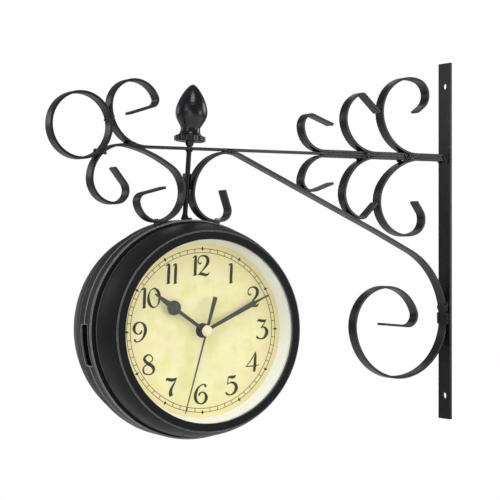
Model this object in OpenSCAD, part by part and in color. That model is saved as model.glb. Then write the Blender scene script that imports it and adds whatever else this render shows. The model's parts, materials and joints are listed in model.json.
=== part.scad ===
// Outdoor wall clock: a double-faced clock head that swivels under a scrolled iron bracket.
// Millimetres. The origin is on the wall face of the plate, midway between its two screw holes.
// +X points into the wall, the bracket reaches towards -X, +Z is up, the front face looks to -Y.

/* [Iron strip and wall plate] */
// Width of the flat iron strip, front to back
strip_w = 10; // [8:0.5:14]
// Thickness of the flat iron strip
strip_t = 2; // [1.6:0.1:2.4]
// Height of the wall plate
plate_h = 314; // [300:1:400]
// Width of the wall plate
plate_w = 16; // [12:0.5:30]
// Thickness of the wall plate
plate_t = 2.5; // [2:0.1:5]
// Diameter of the two screw holes in the wall plate
screw_hole_d = 6; // [3:0.5:8]
// Distance from each end of the plate to its screw hole
screw_inset = 20.5; // [10:0.5:40]
// Height of the top bar above the middle of the plate
bar_up = 73.4; // [65:0.1:95]
// Distance of the swivel axis from the wall
reach = 262.5; // [258:0.5:290]
// Clearance between pieces that are welded or laid together
seat = 0.05; // [0.02:0.01:0.1]

/* [Scrolls] */
// Distance past the swivel axis where the top bar starts to rise into its scroll
rise_past = 37.9; // [34:0.1:42]
// Tilt of the place where the S-scroll touches the rising bar
hump_tilt = 14.3; // [12:0.1:17]
// Radius of the closed ring, to the middle of its strip
ring_r = 25.4; // [22:0.1:28]
// Gap between the hanger rod and the scroll on each side of it, filled by a weld
rod_gap = 1.2; // [0.6:0.1:2]
// Distance from the wall to the bend of the upper small scroll
upper_small_at = 132.7; // [131:0.1:140]
// Distance from the wall to the bend of the upper middle scroll
upper_middle_at = 80.3; // [76:0.1:82]
// Distance from the wall to the bend of the upper large scroll
upper_large_at = 35.3; // [33:0.1:37]
// Distance from the wall to the bend of the lower middle scroll
lower_middle_at = 78.2; // [74:0.1:79]
// Distance from the wall to the bend of the lower large scroll
lower_large_at = 29.7; // [28:0.1:32]
// Gap between the end of a scroll's tail and the strip that bends away over it
tail_gap = 0.4; // [0.3:0.1:1]

/* [Hanger rod and finial] */
// Diameter of the hanger rod
rod_d = 4; // [3:0.1:5]
// Lean of the rod towards the wall, in degrees
rod_lean = 4.1; // [0:0.1:5]
// Distance from the swivel axis to the rod's foot, away from the wall
rod_foot_past = 1.5; // [0:0.1:2]
// Diameter of the collar on which the rod stands
collar_d = 9; // [8:0.5:14]
// Height of the collar's rim
collar_h = 1.2; // [0.8:0.1:2]
// Gap between the top bar and the finial's stem
finial_gap = 1.2; // [0.5:0.1:3]
// Height of the finial's stem
stem_h = 3.5; // [2:0.1:6]
// Height of the finial above its stem
finial_h = 46; // [40:0.5:60]
// Largest diameter of the acorn
acorn_d = 25.8; // [22:0.2:32]
// Diameter of the finial's neck
neck_d = 15.6; // [12:0.2:18]
// Diameter of the lobed foot, over its lobes
foot_d = 25.4; // [22:0.2:30]
// Height of the lobed foot
foot_h = 4.5; // [3:0.1:6]
// Number of lobes round the foot
lobes = 10; // [8:1:14]

/* [Clock head] */
// Height of the drum's centre below the middle of the plate
head_down = 70.8; // [70.8:0.1:90]
// Swivel of the head at rest, in degrees
swivel_rest = -4.5; // [-10:0.5:0]
// Radius of the middle drum
drum_r = 87.2; // [86.5:0.1:87.2]
// Width of the middle drum, over both halves
drum_w = 25; // [18:0.5:26]
// Wall of the drum and of the bezels
wall = 1.6; // [1.2:0.1:2]
// Radius of the neck on which a bezel slides
neck_r = 81.4; // [81:0.1:81.8]
// Radius of the bezel's rim
rim_r = 84.2; // [83.8:0.1:86]
// Distance from the seam to the back of the bezel
rim_at = 18.5; // [18:0.1:22]
// Width of the flat rim
rim_w = 4; // [3.5:0.1:5]
// Distance from the seam to the front of the bezel
lip_at = 46.5; // [45.5:0.1:50]
// Outer radius of the lip
lip_r = 77.6; // [76.5:0.1:79]
// Radius of the opening in the lip
sight_r = 71.4; // [70:0.1:72]
// Radius of the rounded face of the bezel
flare_r = 60; // [40:1:120]
// Width of the slot in the side of the drum
slot_w = 14; // [8:0.5:16]
// Height of the slot in the side of the drum
slot_h = 32; // [20:1:40]
// Diameter of the bezel's thumb screw
thumb_d = 5; // [4:0.1:6]
// Height of the bezel's thumb screw over the rim
thumb_h = 5.7; // [2:0.1:7]

/* [Dial and glass] */
// Distance from the seam to the front of the dial
dial_at = 29.8; // [29.4:0.1:30.6]
// Thickness of the dial
dial_t = 1; // [0.5:0.1:1.5]
// Radius of the dial that shows inside the white ring
dial_sight_r = 68.2; // [66:0.1:70]
// Thickness of the glass
glass_t = 2; // [1.5:0.1:3]
// Thickness of the seal round the glass
seal_t = 0.4; // [0.3:0.1:0.6]
// Thickness of the white ring
ring_wall = 1; // [0.8:0.1:1.4]

/* [Hands and movement] */
// Length of the hour hand
hour_len = 51.3; // [40:0.1:54]
// Length of the minute hand
minute_len = 61.8; // [55:0.1:64]
// Length of the second hand
second_len = 66.2; // [55:0.1:67]
// Length of the second hand's tail
tail_len = 27.4; // [18:0.1:32]
// Clock angle of the hour hand
hour_angle = 305; // [0:1:359]
// Clock angle of the minute hand
minute_angle = 63.6; // [0:0.1:359]
// Clock angle of the second hand
second_angle = 196; // [0:1:359]
// Diameter of the round blob on the hour hand
blob_d = 11.5; // [7:0.5:13]
// Thickness of the hour and minute hands
hand_t = 0.5; // [0.4:0.1:0.7]
// Diameter of the cap in the middle
cap_d = 8.8; // [6:0.1:10]
// Side of the square movement
movement_w = 56; // [54:0.5:60]
// Depth of the movement
movement_d = 16; // [15.8:0.1:17]
// Diameter of the battery
battery_d = 14.5; // [13.5:0.1:14.6]
// Length of the battery
battery_len = 50.5; // [40:0.5:51]
// Running clearance of the shafts, on the radius
run = 0.05; // [0.02:0.01:0.08]

/* [Hidden] */
$fn = 96;

// Bends of each scroll in order, as [radius to the middle of the strip, degrees to the left].
// A bend of 0 degrees is a straight of that length. The brace's diagonal and spiral and the six
// scrolls beside the wall are drawn for a brace that leaves the bar this far from the wall.
drawn_room = 223.76;
bar_scroll_bends = [[30.9, -91.7], [21, -155.4], [5.4, -95.3], [21.3, 0]];
s_left_bends = [[27, 95.8], [19.2, 106.3], [9.8, 116], [14.8, 0]];
s_right_bends = [[23.7, -144.4], [17.5, -83.2], [6.8, -86.6], [19.2, 0]];
c_scroll_bends = [[34.6, 86.9], [22, 109.2], [8.1, 92.3], [14.7, 0]];
diagonal_bend = [24, -24.1];
spiral_bends = [
    [800, -2.9], [68.1, -56.5], [50.2, -96.3], [47.4, -80.1],
    [33.5, -98.8], [33.2, -71], [9.3, -115.4], [25.5, 0]
];
upper_small_bends = [[20.9, -87], [10.7, -49.1], [6.9, -64], [20.8, 0]];
upper_middle_bends = [[30.3, -74.2], [22.6, -88.8], [3.6, -58.7], [21.3, 0]];
upper_large_bends = [[37.5, -72.8], [30.5, -125.3], [13.1, -125.4], [7.6, 0]];
lower_small_bends = [[24, 80.2], [8.3, 98.7], [20.6, 21.4], [15.6, 0]];
lower_middle_bends = [[33.9, 77.8], [21.3, 88.7], [6.3, 57.8], [16.4, 0]];
lower_large_bends = [[49.3, 55.8], [28.8, 146], [13, 104], [9.6, 0]];
// The hump of the S-scroll, and how far it bends on each side of the touching place
hump_r = 94;
hump_left = 5;
hump_right = 16.9;

// Place and heading [x, z, degrees] after one bend, and after a list of them
function bent(p, b) = b[1] == 0
    ? [p[0] + b[0] * cos(p[2]), p[1] + b[0] * sin(p[2]), p[2]]
    : [
        p[0] + sign(b[1]) * b[0] * (sin(p[2] + b[1]) - sin(p[2])),
        p[1] - sign(b[1]) * b[0] * (cos(p[2] + b[1]) - cos(p[2])),
        p[2] + b[1]
    ];
function run_end(p, bends, i = 0) = i == len(bends) ? p : run_end(bent(p, bends[i]), bends, i + 1);
// Centre of the bend that starts at a place, and the place reduced to [x, z]
function bend_centre(p, b) = [
    p[0] - sign(b[1]) * b[0] * sin(p[2]),
    p[1] + sign(b[1]) * b[0] * cos(p[2])
];
// Left-hand crossing of two circles
function left_crossing(c1, r1, c2, r2) =
    let (
        gap = c2 - c1,
        d = norm(gap),
        along = (r1 * r1 - r2 * r2 + d * d) / (2 * d),
        side = sqrt(r1 * r1 - along * along),
        u = gap / d
    )
    c1 + along * u + side * [u[1], -u[0]];
// Point on the way from one place to another
function toward(a, b, distance) = a + (b - a) * distance / norm(b - a);

bar_z = bar_up;
laid = strip_t + seat;
head_z = -head_down;

// Swivel: the rod's collar stands on a bush in the top of the drum
bush_r = 4;
bush_proud = 0.4;
stud_r = rod_d / 2;
collar_z = head_z + drum_r + bush_proud + seat;
foot = [-reach - rod_foot_past, collar_z + collar_h];
// Distance across the rod from its axis to a place
function off_rod(c) = (c[0] - foot[0]) * cos(rod_lean) - (c[1] - foot[1]) * sin(rod_lean);

// Top bar: from the plate to the rise, then up into its scroll
rise = [-reach - rise_past, bar_z, 180];
rise_bend = bar_scroll_bends[0];
rise_centre = bend_centre(rise, rise_bend);

// S-scroll: its hump touches the rising bar from below
hump_touch = rise_centre + (rise_bend[0] + laid) * [-sin(hump_tilt), -cos(hump_tilt)];
s_left_start = bent([hump_touch[0], hump_touch[1], 180 - hump_tilt], [hump_r, hump_left]);
s_right_bend = s_right_bends[0];
s_right_start = bent([hump_touch[0], hump_touch[1], -hump_tilt], [hump_r, -hump_right]);
s_right_centre = bend_centre(s_right_start, s_right_bend);
beside_rod = strip_t / 2 + rod_gap + rod_d / 2;
s_straight = (-s_right_bend[0] - beside_rod - off_rod(s_right_centre)) / cos(s_right_start[2] + rod_lean);

// Ring: touches the bar's scroll and the S-scroll
ring_reach = ring_r + laid;
ring_c = left_crossing(
    rise_centre, rise_bend[0] + ring_reach,
    bend_centre(s_left_start, s_left_bends[0]), s_left_bends[0][0] + ring_reach
);

// Brace: hangs under the bar beside the rod, and its spiral touches the plate
c_bend = c_scroll_bends[0];
brace_z = bar_z - laid;
brace_x = foot[0] + (c_bend[0] + beside_rod + (brace_z - c_bend[0] - foot[1]) * sin(rod_lean)) / cos(rod_lean);
// They keep their shape and shrink or grow with the room between that place and the wall
fit = -brace_x / drawn_room;
function fitted(bends) = [for (b = bends) [b[0] * fit, b[1]]];
function from_wall(distance) = -distance * fit;
spiral = fitted(spiral_bends);
diagonal_start = run_end([brace_x, brace_z, 0], fitted([diagonal_bend]));
spiral_to_widest = run_end(
    [0, 0, diagonal_start[2]],
    [spiral[0], spiral[1], [spiral[2][0], -90 - diagonal_start[2] - spiral[0][1] - spiral[1][1]]]
);
diagonal_len = (-plate_t - seat - strip_t / 2 - diagonal_start[0] - spiral_to_widest[0])
    / cos(diagonal_start[2]);
spiral_touch_z = diagonal_start[1] + diagonal_len * sin(diagonal_start[2]) + spiral_to_widest[1];

// Place along the bar where a tail ends, under or over the first bend of the next scroll
function tail_end(next_at, next_bends) =
    let (next_r = fit * next_bends[0][0])
    from_wall(next_at) - sqrt(pow(next_r + strip_t / 2, 2) - pow(next_r - strip_t / 2 - tail_gap, 2));
// Distance of the two beads on the bar from the bends beside them
bead_past = 10;

// Lower small scroll: hangs from the bar and touches the diagonal
lower_small = fitted(lower_small_bends);
lower_small_turn = bent([0, 0, 180], lower_small[0]);
lower_small_c = bend_centre(lower_small_turn, lower_small[1]);
lower_small_x = diagonal_start[0] - lower_small_c[0]
    + (lower_small[1][0] + laid
       - (brace_z + lower_small_c[1] - diagonal_start[1]) * cos(diagonal_start[2])) / -sin(diagonal_start[2]);

// Finial: its stem stands a little over the bar, and the rod runs up into it
rod_to_bar = (bar_z - foot[1]) / cos(rod_lean);
finial_at = rod_to_bar + strip_t / 2 + finial_gap;
rod_in_finial = stem_h + foot_h + 8;
lobe_r = 2.6;

// Head, measured from the seam outwards and from the drum's axis
half_w = drum_w / 2;
edge = 0.8;
seam_bevel = 0.6;
ledge_r = 74;
ledge_at = dial_at - dial_t - seat;
lug_r = 4.5;
lug_at = 76.2;
lug_h = half_w - wall / 2;
case_screw_r = 1.5;
boss_r = 8;
boss_at = 78;
flange_t = 1.5;
flange_r = 6.5;
washer_t = 0.8;
nut_h = 3.2;
nut_r = 4.05;
stud_end = boss_at - flange_t - washer_t - nut_h - 1.4;
slot_top = 5.1;
slip = 0.2;
groove = 0.7;
lens_r = sight_r + 4;
glass_at = lip_at - wall - seal_t - glass_t - 2 * seat;
dial_r = 80;
thumb_turn = asin(16.6 / rim_r);
thumb_z = rim_at + rim_w / 2;

// Circle of the bezel's rounded face, through the rim's edge and the edge of the lip's groove
flare_a = [rim_r, rim_at + rim_w];
flare_b = [lip_r + groove, lip_at - edge / 2];
flare_n = [flare_b[1] - flare_a[1], flare_a[0] - flare_b[0]] / norm(flare_b - flare_a);
flare_c = (flare_a + flare_b) / 2 - flare_n * sqrt(pow(flare_r, 2) - pow(norm(flare_b - flare_a) / 2, 2));

// Movement, with its neck through the dial and the three nested shafts
movement_at = dial_at - dial_t - seat - movement_d;
neck_tube_r = 3.9;
neck_end = dial_at + 3.4;
hour_tube_r = 2.6;
minute_tube_r = 1.7;
second_pin_r = 0.65;
shaft_well = movement_at + 5.2;
shaft_from = shaft_well + 1;
corner_r = 4;
bay_gap = 0.15;
bay_y = -17;
knob_at = [12, 12];
knob_r = 5;
knob_t = 1.8;
hour_at = neck_end + 0.4;
minute_at = hour_at + 1.8;
second_at = minute_at + 2;
hub_t = 1.1;
hour_hub_r = 4;
minute_hub_r = 3.5;
second_hub_r = 2.4;
cap_h = 2.2;
nut_proud = 2.2;

// Strip work

// Flat strip bent along a list of bends, from a start [x, z, heading]
module strip(start, bends) {
    left = edge_points(start, bends, strip_t / 2);
    right = edge_points(start, bends, -strip_t / 2);
    rotate([90, 0, 0]) translate([0, 0, -strip_w / 2])
        linear_extrude(strip_w)
            polygon(concat(left, [for (i = [len(right) - 1 : -1 : 0]) right[i]]));
}

// Points along one side of a strip, at most four degrees of bend apart
function edge_points(p, bends, side, i = 0) = i == len(bends)
    ? [beside(p, side)]
    : let (b = bends[i], steps = max(1, ceil(abs(b[1]) / 4)))
        concat(
            [for (k = [0 : steps - 1]) beside(k == 0 ? p : bent(p, [b[0], b[1] * k / steps]), side)],
            edge_points(bent(p, b), bends, side, i + 1)
        );
function beside(p, side) = [p[0] - side * sin(p[2]), p[1] + side * cos(p[2])];
// The same bends taken from their far end
function backwards(bends) = [for (i = [len(bends) - 1 : -1 : 0]) [bends[i][0], -bends[i][1]]];
function turned_round(p) = [p[0], p[1], p[2] + 180];

// Puts work on the leaning rod, at a length up from its foot
module on_rod(up) {
    translate([foot[0], 0, foot[1]]) rotate([0, rod_lean, 0]) translate([0, 0, up]) children();
}

module wall_plate() {
    color("#1b1c1e")
        difference() {
            translate([-plate_t, -plate_w / 2, -plate_h / 2]) cube([plate_t, plate_w, plate_h]);
            for (side = [-1, 1])
                translate([0, 0, side * (plate_h / 2 - screw_inset)])
                    rotate([0, 90, 0]) cylinder(d = screw_hole_d, h = 3 * plate_t, center = true);
        }
}

module bar_strip() {
    strip([-plate_t - seat, bar_z, 180], concat([[reach + rise_past - plate_t - seat, 0]], bar_scroll_bends));
}

module top_bar() {
    color("#1f2124")
        difference() {
            bar_strip();
            on_rod(0) cylinder(r = rod_d / 2 + seat, h = rod_to_bar + 2 * strip_t);
        }
}

module end_ring() {
    color("#1f2124")
        translate([ring_c[0], 0, ring_c[1]]) rotate([90, 0, 0])
            rotate_extrude() translate([ring_r, 0]) square([strip_t, strip_w], center = true);
}

module s_scroll() {
    to_left = concat([[hump_r, hump_left]], s_left_bends);
    to_right = concat([[hump_r, -hump_right], [s_straight, 0]], s_right_bends);
    color("#1f2124")
        strip(
            turned_round(run_end([hump_touch[0], hump_touch[1], 180 - hump_tilt], to_left)),
            concat(backwards(to_left), to_right)
        );
}

module brace() {
    color("#1f2124")
        strip(
            turned_round(run_end([brace_x, brace_z, 180], c_scroll_bends)),
            concat(backwards(c_scroll_bends), fitted([diagonal_bend]), [[diagonal_len, 0]], spiral)
        );
}

// Scroll whose straight tail lies along the bar, above it or below it
module tailed_scroll(bend_x, tail_end_x, z, bends) {
    color("#1f2124")
        strip([tail_end_x, z, 180], concat([[tail_end_x - bend_x, 0]], fitted(bends)));
}

module upper_small_scroll() {
    tailed_scroll(from_wall(upper_small_at), tail_end(upper_middle_at, upper_middle_bends), bar_z + laid, upper_small_bends);
}

module upper_middle_scroll() {
    tailed_scroll(from_wall(upper_middle_at), tail_end(upper_large_at, upper_large_bends), bar_z + laid, upper_middle_bends);
}

module upper_large_scroll() {
    tailed_scroll(from_wall(upper_large_at), -plate_t - seat, bar_z + laid, upper_large_bends);
}

module lower_small_scroll() {
    tailed_scroll(lower_small_x, tail_end(lower_middle_at, lower_middle_bends), brace_z, lower_small_bends);
}

module lower_middle_scroll() {
    tailed_scroll(from_wall(lower_middle_at), tail_end(lower_large_at, lower_large_bends), brace_z, lower_middle_bends);
}

module lower_large_scroll() {
    tailed_scroll(from_wall(lower_large_at), -plate_t - seat, brace_z, lower_large_bends);
}

// Domed weld bead on the front and back edges of strips that touch at a place [x, z]
module edge_bead(p, r) {
    for (side = [-1, 1])
        translate([p[0], side * (strip_w / 2 + seat), p[1]]) rotate([-90 * side, 0, 0])
            intersection() {
                translate([0, 0, -0.5 * r]) sphere(r = r, $fn = 32);
                translate([-r, -r, 0]) cube([2 * r, 2 * r, r]);
            }
}

// Upright fillet of weld in the corner between the plate and the edges of a strip that meets it
module plate_fillet(z, r, h) {
    for (side = [-1, 1])
        translate([-plate_t - seat - r, side * (strip_w / 2 + seat + r), z - h / 2]) {
            cylinder(r = r, h = h, $fn = 32);
            for (end = [0, h]) translate([0, 0, end]) sphere(r = r, $fn = 32);
        }
}

// Flat filler between the rod and the scroll beside it
module rod_filler(side) {
    fill = rod_gap - 2 * seat;
    on_rod(rod_to_bar * 0.42)
        translate([side * (rod_d + rod_gap) / 2 - fill / 2, -strip_w / 4, 0]) cube([fill, strip_w / 2, 12]);
}

module weld_beads() {
    color("#24262a") {
        edge_bead(toward(ring_c, rise_centre, ring_r + strip_t / 2), 2.4);
        edge_bead(toward(ring_c, bend_centre(s_left_start, s_left_bends[0]), ring_r + strip_t / 2), 2.4);
        edge_bead(toward(hump_touch, rise_centre, strip_t / 2), 2.4);
        edge_bead([brace_x, bar_z - strip_t / 2], 2.2);
        edge_bead([from_wall(upper_middle_at) - bead_past, bar_z], 3.2);
        edge_bead([from_wall(upper_large_at) - bead_past, bar_z], 3.2);
        plate_fillet(spiral_touch_z, 1.3, 8);
        plate_fillet(bar_z, 1.3, 2 * strip_t);
        rod_filler(-1);
        rod_filler(1);
        on_rod(rod_to_bar - strip_t / 2 - 1.6)
            difference() {
                cylinder(r1 = rod_d / 2 + 0.5, r2 = rod_d / 2 + 1.2, h = 1.4);
                translate([0, 0, -1]) cylinder(r = rod_d / 2 + seat, h = 4);
            }
    }
}

module hanger_rod() {
    color("#1b1c1e") {
        on_rod(0) cylinder(r = rod_d / 2, h = finial_at + rod_in_finial);
        translate([-reach, 0, collar_z]) {
            cylinder(d = collar_d, h = collar_h);
            translate([0, 0, head_z + stud_end - collar_z])
                cylinder(r = stud_r, h = collar_z - head_z - stud_end + collar_h / 2);
        }
        translate([foot[0], 0, foot[1] - seat]) cylinder(r1 = collar_d / 2 - rod_foot_past, r2 = rod_d / 2, h = 3);
    }
}

// Cubic curve from a to d, pulled towards b and c
function curve(a, b, c, d, steps) = [
    for (i = [0 : steps])
        let (t = i / steps, s = 1 - t)
        s * s * s * a + 3 * s * s * t * b + 3 * s * t * t * c + t * t * t * d
];

module finial() {
    neck_r = neck_d / 2;
    belly_r = acorn_d / 2;
    neck_h = foot_h + 6;
    belly_h = finial_h / 2;
    color("#232528")
        on_rod(finial_at)
            difference() {
                union() {
                    cylinder(r1 = rod_d / 2 + 0.8, r2 = rod_d / 2 + 2, h = stem_h + 1);
                    translate([0, 0, stem_h]) {
                        cylinder(r = foot_d / 2 - 1.2, h = foot_h);
                        for (i = [1 : lobes])
                            rotate([0, 0, i * 360 / lobes])
                                translate([foot_d / 2 - lobe_r, 0, 0.4]) cylinder(r = lobe_r, h = foot_h - 0.8);
                        rotate_extrude()
                            polygon(concat(
                                [[0, foot_h / 2], [foot_d / 2 - 3, foot_h / 2]],
                                curve([foot_d / 2 - 2.2, foot_h + 0.2], [neck_r + 0.8, foot_h + 0.8],
                                      [neck_r, foot_h + 3], [neck_r, neck_h], 6),
                                curve([neck_r, neck_h + 0.1], [neck_r + 0.8, neck_h + 3],
                                      [belly_r, neck_h + 7], [belly_r, belly_h], 8),
                                curve([belly_r, belly_h + 0.4], [belly_r, belly_h + 9],
                                      [4, finial_h], [0, finial_h], 12)
                            ));
                    }
                }
                translate([0, 0, -1]) cylinder(r = rod_d / 2 + seat, h = rod_in_finial + 1.2);
            }
}

// Clock head

// Puts work on the drum's axis, and on one of the two faces with +Z out of the face and +Y up
module on_head() {
    translate([-reach, 0, head_z]) rotate([0, 0, swivel_rest]) children();
}

module on_face(turned) {
    on_head() rotate([90, 0, turned]) children();
}
front = 0;
rear = 180;

// Puts work upright over the drum's axis, from a height above it
module on_swivel(up) {
    translate([-reach, 0, head_z + up]) children();
}

module swivel_bush() {
    color("#b08d3c")
        on_head() translate([0, 0, boss_at - flange_t - seat])
            difference() {
                union() {
                    cylinder(r = flange_r, h = flange_t);
                    cylinder(r = bush_r, h = drum_r + bush_proud - boss_at + flange_t + seat);
                }
                translate([0, 0, -1]) cylinder(r = stud_r + run, h = drum_r);
            }
}

module swivel_washer() {
    color("silver")
        on_swivel(boss_at - flange_t - washer_t - 2 * seat)
            difference() {
                cylinder(r = flange_r, h = washer_t);
                translate([0, 0, -1]) cylinder(r = stud_r + run, h = 3);
            }
}

module swivel_nut() {
    color("silver")
        on_swivel(boss_at - flange_t - washer_t - nut_h - 3 * seat)
            difference() {
                cylinder(r = nut_r, h = nut_h, $fn = 6);
                translate([0, 0, -1]) cylinder(r = stud_r + 0.02, h = nut_h + 2);
            }
}

// Lug inside the drum for one of the screws that join its halves
module lug(turn) {
    rotate([0, 0, turn])
        translate([lug_at, 0, 0]) {
            cylinder(r = lug_r, h = lug_h);
            translate([0, 1 - lug_r, 0]) cube([drum_r - wall / 2 - lug_at - 0.3, 2 * lug_r - 2, lug_h - 0.3]);
        }
}
lug_turns = [35, 145, 215, 325];

// Half of the drum with its neck, the ledge for the dial, the lugs and half of the bush's block
module case_half(turned, slot_side) {
    color("#1c1d20")
        on_face(turned)
            difference() {
                union() {
                    rotate_extrude()
                        polygon([
                            [drum_r - seam_bevel, 0], [drum_r, seam_bevel],
                            [drum_r, half_w - edge], [drum_r - edge, half_w],
                            [neck_r, half_w], [neck_r, ledge_at],
                            [ledge_r, ledge_at], [ledge_r, ledge_at - wall],
                            [neck_r - wall, ledge_at - wall], [neck_r - wall, half_w - wall],
                            [drum_r - wall, half_w - wall], [drum_r - wall, 0]
                        ]);
                    for (turn = lug_turns) lug(turn);
                    translate([-boss_r, boss_at, 0]) cube([2 * boss_r, drum_r - wall / 2 - boss_at, boss_r]);
                }
                rotate([-90, 0, 0]) rotate([0, 0, 90]) cylinder(r = bush_r + seat / 2, h = drum_r + wall);
                for (turn = lug_turns)
                    rotate([0, 0, turn]) translate([lug_at, 0, -1])
                        cylinder(r = case_screw_r + seat, h = lug_h + 2);
                translate([slot_side * (drum_r - wall), slot_top - slot_h / 2, 0])
                    cube([8 * wall, slot_h, slot_w], center = true);
            }
}

module front_case() { case_half(front, -1); }

module rear_case() { case_half(rear, 1); }

module case_screws() {
    color("silver")
        on_face(front)
            for (turn = lug_turns)
                rotate([0, 0, turn]) translate([lug_at, 0, -lug_h + 0.5]) {
                    cylinder(r = case_screw_r, h = 2 * lug_h - 0.4);
                    translate([0, 0, 2 * lug_h - 0.5 + seat]) cylinder(r = 2.8, h = 1.8);
                }
}

// Flared bezel: a rim that slides on the neck, a rounded face, a groove and a flat lip
module bezel(turned) {
    color("#1a1b1e")
        on_face(turned)
            difference() {
                rotate_extrude()
                    difference() {
                        intersection() {
                            translate(flare_c) circle(r = flare_r, $fn = 240);
                            translate([sight_r, rim_at]) square([rim_r - sight_r, lip_at - rim_at]);
                        }
                        translate([0, rim_at - 1]) square([neck_r + slip, rim_w + 1]);
                        intersection() {
                            translate(flare_c) circle(r = flare_r - wall, $fn = 240);
                            translate([0, rim_at]) square([rim_r, lip_at - wall - rim_at]);
                            translate([0, rim_at + rim_w]) square([rim_r, lip_at]);
                        }
                        translate([lip_r, lip_at - edge]) square([groove, 2 * edge]);
                    }
                thumb_place() translate([0, 0, -4 * wall]) cylinder(r = 1.5 + seat, h = 8 * wall);
            }
}

// Place of a bezel's thumb screw, with +Z out of the rim
module thumb_place() {
    rotate([0, 0, -thumb_turn]) translate([0, rim_r, thumb_z]) rotate([-90, 0, 0]) children();
}

module thumb_screw(turned) {
    color("#1a1b1e")
        on_face(turned) thumb_place() {
            translate([0, 0, neck_r - rim_r + seat]) cylinder(r = 1.5, h = rim_r - neck_r + 0.5);
            translate([0, 0, seat])
                rotate_extrude($fn = 48)
                    polygon([
                        [0, 0], [thumb_d / 2 - 0.8, 0], [thumb_d / 2, 0.9], [thumb_d / 2, thumb_h - 1.3],
                        [thumb_d / 2 - 0.5, thumb_h - 0.5], [thumb_d / 2 - 1.3, thumb_h], [0, thumb_h]
                    ]);
        }
}

module glass(turned) {
    color("#dfe9ea", 0.3)
        on_face(turned) translate([0, 0, glass_at]) cylinder(r = lens_r, h = glass_t, $fn = 180);
}

module seal(turned) {
    color("#202020")
        on_face(turned) translate([0, 0, glass_at + glass_t + seat])
            difference() {
                cylinder(r = lens_r, h = seal_t);
                translate([0, 0, -1]) cylinder(r = sight_r + 0.4, h = seal_t + 2);
            }
}

// White ring between dial and glass, with a foot on the dial and a flange under the glass
module inner_ring(turned) {
    low = dial_at + seat;
    high = glass_at - seat;
    color("#f0eee6")
        on_face(turned)
            rotate_extrude()
                polygon([
                    [dial_sight_r, low], [dial_r - 0.5, low], [dial_r - 0.5, low + ring_wall],
                    [dial_sight_r + ring_wall + 0.3, low + ring_wall], [sight_r + ring_wall, high - ring_wall],
                    [lens_r, high - ring_wall], [lens_r, high], [sight_r, high]
                ]);
}

module dial(turned) {
    color("#eee4aa")
        on_face(turned) translate([0, 0, dial_at - dial_t])
            difference() {
                cylinder(r = dial_r, h = dial_t, $fn = 180);
                translate([0, 0, -1]) cylinder(r = neck_tube_r + slip, h = dial_t + 2);
            }
}

// Quartz movement: a square box with a neck, a well for the shafts and a battery bay
module movement(turned) {
    color("#2a2a2c")
        on_face(turned)
            difference() {
                union() {
                    translate([0, 0, movement_at]) linear_extrude(movement_d) rounded_square();
                    translate([0, 0, movement_at + 1]) cylinder(r = neck_tube_r, h = neck_end - movement_at - 1);
                }
                translate([0, 0, shaft_well]) cylinder(r = hour_tube_r + run, h = movement_d * 2);
                translate([-battery_len / 2 - bay_gap, bay_y - battery_d / 2 - bay_gap, movement_at - 1])
                    cube([battery_len + 2 * bay_gap, battery_d + 2 * bay_gap, battery_d + 2 * bay_gap + 1]);
                translate([knob_at[0], knob_at[1], movement_at - 1]) cylinder(r = 1 + run, h = 5.5);
            }
}

module rounded_square() {
    half = movement_w / 2 - corner_r;
    square([movement_w, 2 * half], center = true);
    square([2 * half, movement_w], center = true);
    for (x = [-half, half], y = [-half, half]) translate([x, y]) circle(r = corner_r);
}

module battery(turned) {
    color("#3c5a3c")
        on_face(turned)
            translate([-battery_len / 2, bay_y, movement_at + battery_d / 2 + bay_gap]) rotate([0, 90, 0]) {
                cylinder(d = battery_d, h = battery_len - 1.2);
                cylinder(r = 2.6, h = battery_len);
            }
}

module dial_nut(turned) {
    color("#8f8a78")
        on_face(turned) translate([0, 0, dial_at + seat])
            difference() {
                union() {
                    cylinder(r = 5.8, h = 0.6);
                    cylinder(r = 5.2, h = nut_proud, $fn = 6);
                }
                translate([0, 0, -1]) cylinder(r = neck_tube_r + 0.02, h = 5);
            }
}

module setting_knob(turned) {
    color("#d8d4c8")
        on_face(turned) translate([knob_at[0], knob_at[1], movement_at - knob_t - 0.3]) {
            cylinder(r = knob_r, h = knob_t);
            cylinder(r = 1, h = knob_t + 4);
        }
}

// Puts a hand drawn along +Y at a clock angle, at a height over the seam
module at_clock(turned, angle, z) {
    on_face(turned) translate([0, 0, z]) rotate([0, 0, -angle]) children();
}

// Flat hand on a round hub, with a hole for its tube
module hand(hub_r, hub_h, bore) {
    difference() {
        union() {
            cylinder(r = hub_r, h = hub_h);
            linear_extrude(hand_t) children();
        }
        translate([0, 0, -1]) cylinder(r = bore, h = hub_h + 2);
    }
}

module hour_hand(turned) {
    blob_at = hour_len * 0.62;
    color("#33342f")
        at_clock(turned, hour_angle, hour_at)
            hand(hour_hub_r, hub_t, hour_tube_r + 0.02) {
                translate([-1.4, 1]) square([2.8, blob_at]);
                translate([0, blob_at]) circle(d = blob_d);
                polygon([[-2.6, blob_at + 3], [2.6, blob_at + 3], [0.5, hour_len], [-0.5, hour_len]]);
            }
}

module minute_hand(turned) {
    wide_at = minute_len * 0.72;
    color("#33342f")
        at_clock(turned, minute_angle, minute_at)
            hand(minute_hub_r, hub_t, minute_tube_r + 0.02)
                polygon([
                    [-1.2, 1], [1.2, 1], [2, wide_at], [2.5, wide_at + 3], [1, wide_at + 4.4],
                    [0.4, minute_len], [-0.4, minute_len], [-1, wide_at + 4.4], [-2.5, wide_at + 3], [-2, wide_at]
                ]);
}

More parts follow.
